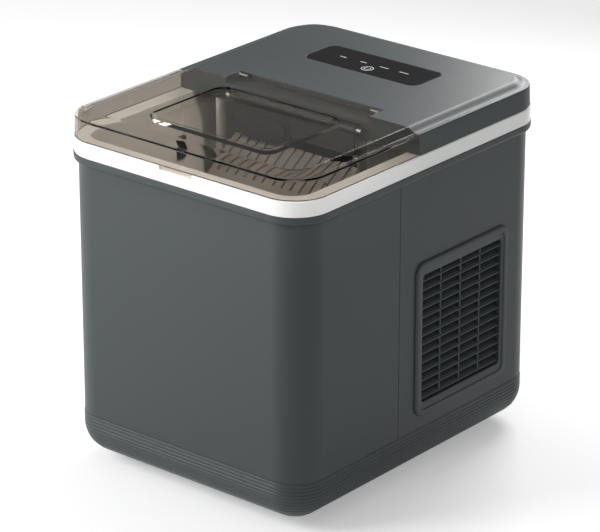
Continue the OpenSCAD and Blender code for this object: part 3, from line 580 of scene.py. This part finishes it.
def make_rear_housing():
    """Back and rear side walls, with the vents, the gland's hole and the drain's hole."""
    bm = bmesh.new()
    path = part_outline(body_w, body_d, body_r, seam_y + seam_gap / 2, False, 20)
    sweep(bm, path, wall_profile(), False)
    shell = finish_mesh("rear_housing_shell", bm, charcoal)
    tools = []
    for side in (-1, 1):
        lap = 2.5 * MM
        bm = bmesh.new()
        w = grille_hi.y - grille_lo.y - 2 * lap
        h = grille_hi.z - grille_lo.z - 2 * lap
        mid = (grille_lo + grille_hi) / 2
        loops = [
            [Vector((x, p.x + mid.y, p.y + mid.z)) for p, _ in outline(w, h, 6 * MM, 6)]
            for x in (side * (body_w / 2 - 10 * MM), side * (body_w / 2 + 10 * MM))
        ]
        loft(bm, loops)
        tools.append(finish_mesh("opening", bm, None))
    gland_lo, gland_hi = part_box("cord_gland")
    spigot_lo, spigot_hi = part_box("drain_spigot")
    for lo, hi, r in ((gland_lo, gland_hi, 7 * MM), (spigot_lo, spigot_hi, 6.5 * MM)):
        mid = (lo + hi) / 2
        through = (rear_hi.y - 8 * MM, rear_hi.y + 5 * MM)
        tools.append(rod("hole", 1, (mid.x, mid.z), through, r))
    boolean(shell, tools)
    soften_ends(shell)
    return piece(shell, "housing", "charcoal_plastic", "rear_housing")


def make_collar():
    """Dark collar under the band, with a soft lower lip."""
    z0, z1 = collar_lo.z, collar_hi.z
    deep = 6.1 * MM
    profile = rounded_profile(
        [
            (0, z0, 2.4 * MM),
            (0, z1, 0.4 * MM),
            (-deep, z1, 0),
            (-deep, z0, 0),
        ],
        8,
    )
    bm = bmesh.new()
    sweep(bm, outline(collar_w, collar_d, collar_r, 24), profile)
    collar = finish_mesh("rim_collar_ring", bm, charcoal)
    mark_sharp(collar)
    return piece(collar, "housing", "charcoal_plastic", "rim_collar")


def bin_loop(grow, z, arc=12):
    """Outline of the bin opening in the flange."""
    x, front, back, r = 102.3 * MM, -133 * MM, 72.3 * MM, 18 * MM
    w, d = 2 * (x + grow), back - front + 2 * grow
    return loop_at(w, d, r + grow, z, (0, (front + back) / 2), arc)


def make_top_frame():
    """White band and flange in one moulding, edges rounded, with a notch for the finger pull."""
    z0, z1 = band_lo.z, band_hi.z
    t = 2.2 * MM
    edge = 0.5 * MM
    bm = bmesh.new()
    arc = 24

    def band_ring(inset, z):
        return loop_at(band_w - 2 * inset, band_d - 2 * inset, band_r - inset, z, (0, 0), arc)

    loops = []
    steps = 4
    loops.append(band_ring(wall, z1 - t))
    loops.append(band_ring(wall, z0 + edge))
    for k in range(1, steps + 1):
        a = math.radians(90 * k / steps)
        loops.append(band_ring(wall - edge * (1 - math.cos(a)), z0 + edge * (1 - math.sin(a))))
    for k in range(steps + 1):
        a = math.radians(90 * k / steps)
        loops.append(band_ring(edge * (1 - math.sin(a)), z0 + edge * (1 - math.cos(a))))
    top_edge = 0.9 * MM
    for k in range(steps + 1):
        a = math.radians(90 * k / steps)
        inset, fall = top_edge * (1 - math.cos(a)), top_edge * (1 - math.sin(a))
        loops.append(band_ring(inset, z1 - fall))
    inner_edge = 1.0 * MM
    for k in range(steps + 1):
        a = math.radians(90 * k / steps)
        grow, fall = inner_edge * (1 - math.sin(a)), inner_edge * (1 - math.cos(a))
        loops.append(bin_loop(grow, z1 - fall, arc))
    loops.append(bin_loop(0, z1 - t, arc))
    rings = [[bm.verts.new(p) for p in loop] for loop in loops]
    join_rings(bm, rings + rings[:1])
    ring = finish_mesh("top_frame_ring", bm, white_gloss)
    pull_x = 15.6 * MM
    tools = [
        block("notch", (-pull_x, -0.3, z1 - 2.5 * MM), (pull_x, -band_d / 2 + 1.4 * MM, z1 + 0.01)),
        block("slot", (49 * MM, 85 * MM, z0 + 5 * MM), (83 * MM, 99 * MM, z1 + 0.01)),
    ]
    boolean(ring, tools)
    mark_sharp(ring, 30)
    return piece(ring, "housing", "white_plastic", "top_frame")


# ---- lid and rear cover ----

def hood_body(name, inset, drop, fall=0.0):
    """Closed body of the hood: drafted wall, rounded lip, ledge, S-shaped slope, flat top."""
    arc = 28
    edge = max(1.1 * MM - inset * 0.3, 0.3 * MM)
    base_z = flange_z - fall
    ledge_top = flange_z + hood_wall_h - drop
    profile = [(0.0, base_z)]
    steps = 6
    for k in range(steps + 1):
        a = math.radians(90 * k / steps)
        profile.append(
            (-hood_draft - edge * (1 - math.cos(a)), ledge_top - edge + edge * math.sin(a))
        )
    count = 20
    for k in range(count + 1):
        t = k / count
        rise = hood_rise * (1 - math.cos(math.pi * t)) / 2
        profile.append((-hood_draft - ledge_w - slope_w * t, ledge_top + rise))
    bm = bmesh.new()
    loops = []
    for x, z in profile:
        w, d = hood_w - 2 * inset + 2 * x, hood_d - 2 * inset + 2 * x
        loops.append(loop_at(w, d, max(hood_r - inset + x, 2 * MM), z, (0, 0), arc))
    loft(bm, loops)
    return finish_mesh(name, bm, None)


def make_top_cover():
    """Fixed rear cover: hollow, with a front wall, a notch for the lid's tab and a panel seat."""
    cover = hood_body("top_cover_shell", 0, 0)
    cover.data.materials.append(charcoal)
    hollow = hood_body("hollow", cover_t, cover_t, 1 * MM)
    keep_wall = block("keep", (-0.3, -0.3, 0.2), (0.3, cover_front + cover_t, 0.4))
    boolean(hollow, [keep_wall])
    notch_x = tab_x + 0.5 * MM
    notch_y = hinge.y + knuckle_r + 0.35 * MM
    notch_z = hinge.z - knuckle_r - 0.6 * MM
    t = 2.4 * MM
    boolean(cover, [hollow, block("front_half", (-0.3, -0.3, 0.2), (0.3, cover_front, 0.4))])
    trough = block(
        "trough",
        (-notch_x - t, cover_front, notch_z - t),
        (notch_x + t, notch_y + t, top_z - MM),
    )
    boolean(cover, [trough], "UNION")
    way_x = 60.5 * MM
    way = block(
        "way",
        (-way_x, cover_front - MM, flange_z - MM),
        (way_x, cover_front + t + MM, notch_z - t - MM),
    )
    notch = block(
        "notch",
        (-notch_x, cover_front - 5 * MM, notch_z),
        (notch_x, notch_y, top_z + 0.01),
    )
    bm = bmesh.new()
    mid = (panel_lo + panel_hi) / 2
    w, d = panel_hi.x - panel_lo.x + 0.4 * MM, panel_hi.y - panel_lo.y + 0.4 * MM
    loft(bm, [loop_at(w, d, 8 * MM, z, mid.to_2d()) for z in (panel_lo.z, top_z + 0.01)])
    seat = finish_mesh("seat", bm, None)
    boolean(cover, [notch, way, seat])
    soften(cover, 0.35 * MM, 2, 40)
    return piece(cover, "housing", "charcoal_plastic", "top_cover")


def cup(name, grow, depth, top, slope):
    """Tapered cup with rounded corners; grow widens it all round, depth is measured from top."""
    edge = 0.6 * MM
    w, d, r = recess_w + 2 * grow, recess_d + 2 * grow, recess_r + grow

    def flared(out, z):
        return loop_at(w + 2 * out, d + 2 * out, r + out, z, (0, recess_y))

    if top:
        # a soft lip where the recess meets the lid's top
        loops = [flared(edge, top_z + 4 * MM)]
        for k in range(5):
            a = math.radians(90 * k / 4)
            loops.append(flared(edge * (1 - math.sin(a)), top_z - edge * (1 - math.cos(a))))
    else:
        loops = [flared(0, top_z - MM)]
    bottom = top_z - depth
    for k in range(6):
        a = math.radians(90 * k / 5)
        shrink = slope + edge * (1 - math.cos(a))
        z = bottom + edge * (1 - math.sin(a))
        corner = max(r - shrink, 3 * MM)
        loops.append(loop_at(w - 2 * shrink, d - 2 * shrink, corner, z, (0, recess_y)))
    bm = bmesh.new()
    loft(bm, loops)
    return finish_mesh(name, bm, None)


def make_lid():
    """Smoked lid in one hollow shell, with its recess, hinge tab, knuckle and finger pull."""
    lid = hood_body("lid_shell", 0, 0)
    lid.data.materials.append(smoked)
    hollow = hood_body("hollow", lid_t, lid_t, 1 * MM)
    boolean(lid, [hollow])
    boolean(lid, [cup("pan", lid_t, recess_depth + lid_t, False, 1.6 * MM)], "UNION")
    boolean(lid, [cup("bowl", 0, recess_depth, True, 2.4 * MM)])
    boolean(
        lid,
        [
            block("rear", (-0.3, lid_back, 0.2), (0.3, 0.3, 0.4)),
            block("skirt", (-0.3, -0.3, 0.2), (0.3, 0.3, lid_lo.z + 2.45 * MM)),
        ],
    )
    tab = block("tab", (-tab_x, lid_back - 4 * MM, top_z - lid_t), (tab_x, hinge.y, top_z))
    boolean(lid, [tab], "UNION")
    axis_at = (hinge.y, hinge.z)
    knuckle = rod("knuckle", 0, axis_at, (-tab_x, tab_x), knuckle_r, 48)
    boolean(lid, [knuckle], "UNION")
    pull_x, pull_y = 15 * MM, band_d / 2 + 0.4 * MM
    pull = block(
        "pull",
        (-pull_x, -pull_y, lid_lo.z),
        (pull_x, -pull_y + 1.4 * MM, flange_z + 2 * MM),
    )
    boolean(lid, [pull], "UNION")
    bores = [
        rod("bore", 0, axis_at, (side * (tab_x - 9 * MM), side * (tab_x + MM)), 1.52 * MM)
        for side in (-1, 1)
    ]
    boolean(lid, bores)
    soften(lid, 0.35 * MM, 3, 40)
    return piece(lid, "lid", "smoked_lid", "lid")


# ---- vent grilles ----

def bar_section(back, front, half, edge):
    """Rounded section of a louvre or an upright, from its back edge to its front edge."""
    return rounded_profile(
        [
            (back, -half, edge),
            (front, -half, 0.6 * MM),
            (front, half, 0.6 * MM),
            (back, half, edge),
        ],
        4,
    )


def make_grille(side, node):
    """Louvred vent: stepped, rounded bezel, fourteen slanted louvres and three uprights."""
    x0 = body_w / 2
    mid = (grille_lo + grille_hi) / 2
    bezel_w, bezel_h = grille_hi.y - grille_lo.y, grille_hi.z - grille_lo.z
    bezel_r = 9 * MM
    field_w, field_h = 95.5 * MM, 102 * MM
    proud = 2 * MM
    deep = 7 * MM
    foot = 0.3 * MM

    def ring(w, h, r, x):
        return [Vector((x, p.x + mid.y, p.y + mid.z)) for p, _ in outline(w, h, r, 10)]

    # section of the bezel, from the outer edge over the crown to the field's opening
    plug = 5.4 * MM
    seat = x0 + 0.02 * MM
    loops = [
        ring(bezel_w - plug, bezel_h - plug, 5.8 * MM, x0 - deep),
        ring(bezel_w - plug, bezel_h - plug, 5.8 * MM, seat),
        ring(bezel_w, bezel_h, bezel_r, seat),
    ]
    steps = 6
    for k in range(steps + 1):
        a = math.radians(90 * k / steps)
        inset = 1.8 * MM * (1 - math.cos(a))
        x = x0 + foot + (proud - foot) * math.sin(a)
        loops.append(ring(bezel_w - 2 * inset, bezel_h - 2 * inset, bezel_r - inset, x))
    crown_in, crown_r = 5.0 * MM, 0.8 * MM
    for k in range(steps + 1):
        a = math.radians(90 * k / steps)
        inset = crown_in - crown_r + crown_r * math.sin(a)
        x = x0 + proud - crown_r * (1 - math.cos(a))
        loops.append(ring(bezel_w - 2 * inset, bezel_h - 2 * inset, bezel_r - inset * 0.6, x))
    loops.append(ring(field_w + 1.4 * MM, field_h + 1.4 * MM, 4 * MM, x0 + 1.0 * MM))
    loops.append(ring(field_w, field_h, 3 * MM, x0 + foot))
    loops.append(ring(field_w, field_h, 3 * MM, x0 - deep))
    bm = bmesh.new()
    rings = [[bm.verts.new(p) for p in loop] for loop in loops]
    join_rings(bm, rings + rings[:1])
    # louvres, tilted so that they shed water outward
    tilt = math.radians(34)
    c, s = math.cos(tilt), math.sin(tilt)
    section = bar_section(-3.6 * MM, 3.6 * MM, 0.75 * MM, 0.5 * MM)
    turned = [Vector((q.x * c + q.y * s, -q.x * s + q.y * c)) for q in section]
    count = 14
    pitch = field_h / count
    for i in range(count):
        z = mid.z - field_h / 2 + pitch * (i + 0.5)
        ends = (mid.y - (field_w + MM) / 2, mid.y + (field_w + MM) / 2)
        loft(bm, [[Vector((x0 - 3.2 * MM + q.x, y, z + q.y)) for q in turned] for y in ends])
    upright = bar_section(-3 * MM, 2.6 * MM, 0.8 * MM, 0.3 * MM)
    for i in range(1, 4):
        y = mid.y - field_w / 2 + field_w / 4 * i
        ends = (mid.z - (field_h + MM) / 2, mid.z + (field_h + MM) / 2)
        loft(bm, [[Vector((x0 - 3.4 * MM + q.x, y + q.y, z)) for q in upright] for z in ends])
    if side < 0:
        for v in bm.verts:
            v.co.x = -v.co.x
    grille = finish_mesh("left_grille" if side < 0 else "right_grille", bm, charcoal)
    mark_sharp(grille, 45)
    return piece(grille, "housing", "charcoal_plastic", node)


# ---- panel ----

def make_panel():
    """Touch panel with rounded corners, its edge softened."""
    bm = bmesh.new()
    mid = (panel_lo + panel_hi) / 2
    w, d, r = panel_hi.x - panel_lo.x, panel_hi.y - panel_lo.y, 7.8 * MM
    edge = 0.35 * MM
    loops = [loop_at(w, d, r, panel_lo.z, mid.to_2d(), 12)]
    for k in range(5):
        a = math.radians(90 * k / 4)
        inset = edge * (1 - math.cos(a))
        z = panel_hi.z - edge * (1 - math.sin(a))
        loops.append(loop_at(w - 2 * inset, d - 2 * inset, r - inset, z, mid.to_2d(), 12))
    loft(bm, loops)
    panel = finish_mesh("touch_panel", bm, panel_black)
    mark_sharp(panel, 30)
    return piece(panel, "housing", "panel_black", "control_panel")


print_t = 0.06 * MM


def print_strip(bm, x, y, w, d, z):
    """Short printed bar with rounded ends."""
    loops = [loop_at(w, d, d * 0.45, h, (x, y), 4) for h in (z, z + print_t)]
    loft(bm, loops)


def arc_strip(bm, centre, radius, width, start, stop, z, count=40):
    """Flat printed arc from one angle to another, in degrees."""
    rows = []
    for i in range(count + 1):
        a = math.radians(start + (stop - start) * i / count)
        u = Vector((math.cos(a), math.sin(a)))
        lo, hi = centre + u * (radius - width / 2), centre + u * (radius + width / 2)
        corners = ((*lo, z), (*hi, z), (*hi, z + print_t), (*lo, z + print_t))
        rows.append([bm.verts.new(corner) for corner in corners])
    join_rings(bm, rows)
    bm.faces.new(rows[0])
    bm.faces.new(list(reversed(rows[-1])))


def make_panel_marks():
    """Generic key marks: four short bars, and a power ring in front of them."""
    z = panel_hi.z - 0.05 * MM
    bm = bmesh.new()
    for x, w in ((-30, 6.5), (-10, 6), (10, 8.5), (29, 9)):
        print_strip(bm, x * MM, 81.8 * MM, w * MM, 0.9 * MM, z)
    ring_centre = Vector((1.2, 72.3)) * MM
    arc_strip(bm, ring_centre, 4.6 * MM, 0.7 * MM, 0, 359.9, z, 60)
    arc_strip(bm, ring_centre, 2.4 * MM, 0.7 * MM, 125, 415, z, 30)
    print_strip(bm, ring_centre.x, ring_centre.y + 2.3 * MM, 0.7 * MM, 2.6 * MM, z)
    marks = finish_mesh("panel_marks", bm, print_white, smooth=False)
    return piece(marks, "housing", "white_plastic")


# ---- softened copies of the plain CAD nodes that show ----

def soften_copy(node, body, material, slot_name, width, clamp=True):
    """A copy of a CAD node with rounded edges, which stands for it."""
    copy = bpy.data.objects.new(node + "_moulded", nodes[node].data.copy())
    bpy.context.scene.collection.objects.link(copy)
    copy.data.materials.clear()
    copy.data.materials.append(material)
    soften(copy, width, clamp=clamp)
    return piece(copy, body, slot_name, node)


CAD_LOOKS = {
    "control_board": board,
    "main_board": board,
    "foam_jacket": foam,
    "evaporator": nickel,
    "evaporator_coil": copper,
    "evaporator_bridge": pale_plastic,
    "tray_motor": pale_plastic,
    "base_plate": steel,
    "compressor": enamel,
    "compressor_grommets": rubber,
    "compressor_bolts": steel,
    "accumulator": enamel,
    "condenser_fins": aluminium,
    "condenser_tube": copper,
    "fan_shroud": dark_nylon,
    "fan_motor": dark_nylon,
    "filter_drier": copper,
    "capillary_tube": copper,
    "discharge_line": copper,
    "liquid_line": copper,
    "suction_line": copper,
    "hot_gas_valve": brass,
    "pump_housing": dark_nylon,
    "pump_hose": hose_clear,
    "drain_hose": hose_clear,
    "float_stem": cream_inner,
    "board_bracket": pale_plastic,
    "base_screws": steel,
    "cover_screws": steel,
    "lid_hinge_pins": steel,
    "tray_shaft": steel,
    "pusher_shaft": steel,
    "fan_blade": dark_nylon,
    "pump_impeller": cream_inner,
}

SOFTENED = {
    "bin_liner": ("housing", cream_inner, "white_inner", 0.6 * MM),
    "ice_ramp": ("housing", ramp_grey, "grey_plastic", 0.15 * MM),
    "ice_sensors": ("housing", dark_nylon, "dark_nylon", 0.4 * MM),
    "drain_spigot": ("housing", charcoal, "charcoal_plastic", 0.3 * MM),
    "cord_gland": ("housing", dark_nylon, "dark_nylon", 0.5 * MM),
    "rubber_feet": ("housing", rubber, "rubber", 0.5 * MM),
    "ice_basket": ("basket", graphite, "grey_plastic", 0.5 * MM),
    "water_tray": ("tray", pale_plastic, "clear_tray", 0.4 * MM),
    "ice_pusher": ("pusher", dark_nylon, "dark_nylon", 0.5 * MM),
    "level_float": ("float", cream_inner, "white_inner", 0.6 * MM),
    "drain_plug": ("plug", rubber, "rubber", 0.4 * MM),
}


def dress_cad_nodes():
    """Gives each CAD node that is carried over its material."""
    for node, material in CAD_LOOKS.items():
        obj = nodes[node]
        if obj.data.materials:
            obj.data.materials[0] = material
        else:
            obj.data.materials.append(material)


# ---- surroundings ----

def make_stage():
    """Level white floor; it glows a little more for the camera, as a plain backdrop would."""
    bm = bmesh.new()
    half = 6.0
    rows = []
    for y in (-half, half):
        rows.append([bm.verts.new((x, y, floor_z - 0.0001)) for x in (-half, half)])
    bm.faces.new((rows[0][0], rows[0][1], rows[1][1], rows[1][0]))
    material, tree, shader = new_material("pale_floor")
    drift = object_noise(tree, 3, 2)
    tree.links.new(tinted(tree, drift, (0.93, 0.93, 0.93), 0.01), shader.inputs["Base Color"])
    shader.inputs["Roughness"].default_value = 0.7
    shader.inputs["Emission Color"].default_value = (1, 1, 1, 1)
    path = tree.nodes.new("ShaderNodeLightPath")
    glow = ramp(tree, path.outputs["Is Camera Ray"], 0.1, 0.32, 0, 1)
    tree.links.new(glow, shader.inputs["Emission Strength"])
    floor = finish_mesh("floor", bm, material, smooth=False)


def aim_light(data, place, target):
    """Puts a lamp at its place, facing the target."""
    light = bpy.data.objects.new(data.name, data)
    light.location = place
    light.rotation_euler = (Vector(target) - Vector(place)).to_track_quat("-Z", "Y").to_euler()
    bpy.context.scene.collection.objects.link(light)


def area_light(name, place, target, size, power, size_y=None):
    """Softbox of the given width, and height if that differs."""
    data = bpy.data.lights.new(name, "AREA")
    data.shape = "RECTANGLE"
    data.size = size
    data.size_y = size_y or size
    data.energy = power
    aim_light(data, place, target)


def spot_light(name, place, target, cone, power, radius):
    """Narrow lamp with a soft edge; the cone is its full angle in degrees."""
    data = bpy.data.lights.new(name, "SPOT")
    data.spot_size = math.radians(cone)
    data.spot_blend = 0.5
    data.shadow_soft_size = radius
    data.energy = power
    aim_light(data, place, target)


def light_scene():
    """White backdrop with softer light round it, a key from the front left, a softbox behind."""
    world = bpy.data.worlds.new("studio")
    world.use_nodes = True
    tree = world.node_tree
    soft = tree.nodes["Background"]
    soft.inputs["Color"].default_value = (1, 1, 1, 1)
    soft.inputs["Strength"].default_value = 0.38
    backdrop = tree.nodes.new("ShaderNodeBackground")
    backdrop.inputs["Color"].default_value = (1, 1, 1, 1)
    backdrop.inputs["Strength"].default_value = 1.0
    path = tree.nodes.new("ShaderNodeLightPath")
    mix = tree.nodes.new("ShaderNodeMixShader")
    tree.links.new(path.outputs["Is Camera Ray"], mix.inputs["Fac"])
    tree.links.new(soft.outputs["Background"], mix.inputs[1])
    tree.links.new(backdrop.outputs["Background"], mix.inputs[2])
    tree.links.new(mix.outputs["Shader"], tree.nodes["World Output"].inputs["Surface"])
    bpy.context.scene.world = world
    area_light("key", (-1.6, -1.8, 1.6), (0, 0, 0.15), 1.4, 42)
    area_light("near_left", (-0.95, -0.95, 0.5), (-0.05, -0.1, 0.12), 0.7, 5)
    area_light("corner_strip", (-0.48, -1.2, 0.28), (0.09, -0.13, 0.12), 0.12, 1.2, size_y=0.5)
    spot_light("bin_light", (1.0, -0.45, 1.35), (-0.01, -0.075, 0.26), 8.5, 55, 0.05)
    area_light("softbox", (-0.12, 0.75, 0.65), (0.08, 0.05, 0.28), 0.45, 5)
    bpy.context.scene.view_settings.view_transform = "Standard"


# ---- assembly ----

make_base_pan()
make_front_housing()
make_rear_housing()
make_collar()
make_top_frame()
make_top_cover()
make_lid()
make_grille(1, "right_vent_grille")
make_grille(-1, "left_vent_grille")
make_panel()
make_panel_marks()
for node, (body, material, slot_name, width) in SOFTENED.items():
    soften_copy(node, body, material, slot_name, width, clamp=node != "ice_ramp")
dress_cad_nodes()
make_stage()
light_scene()
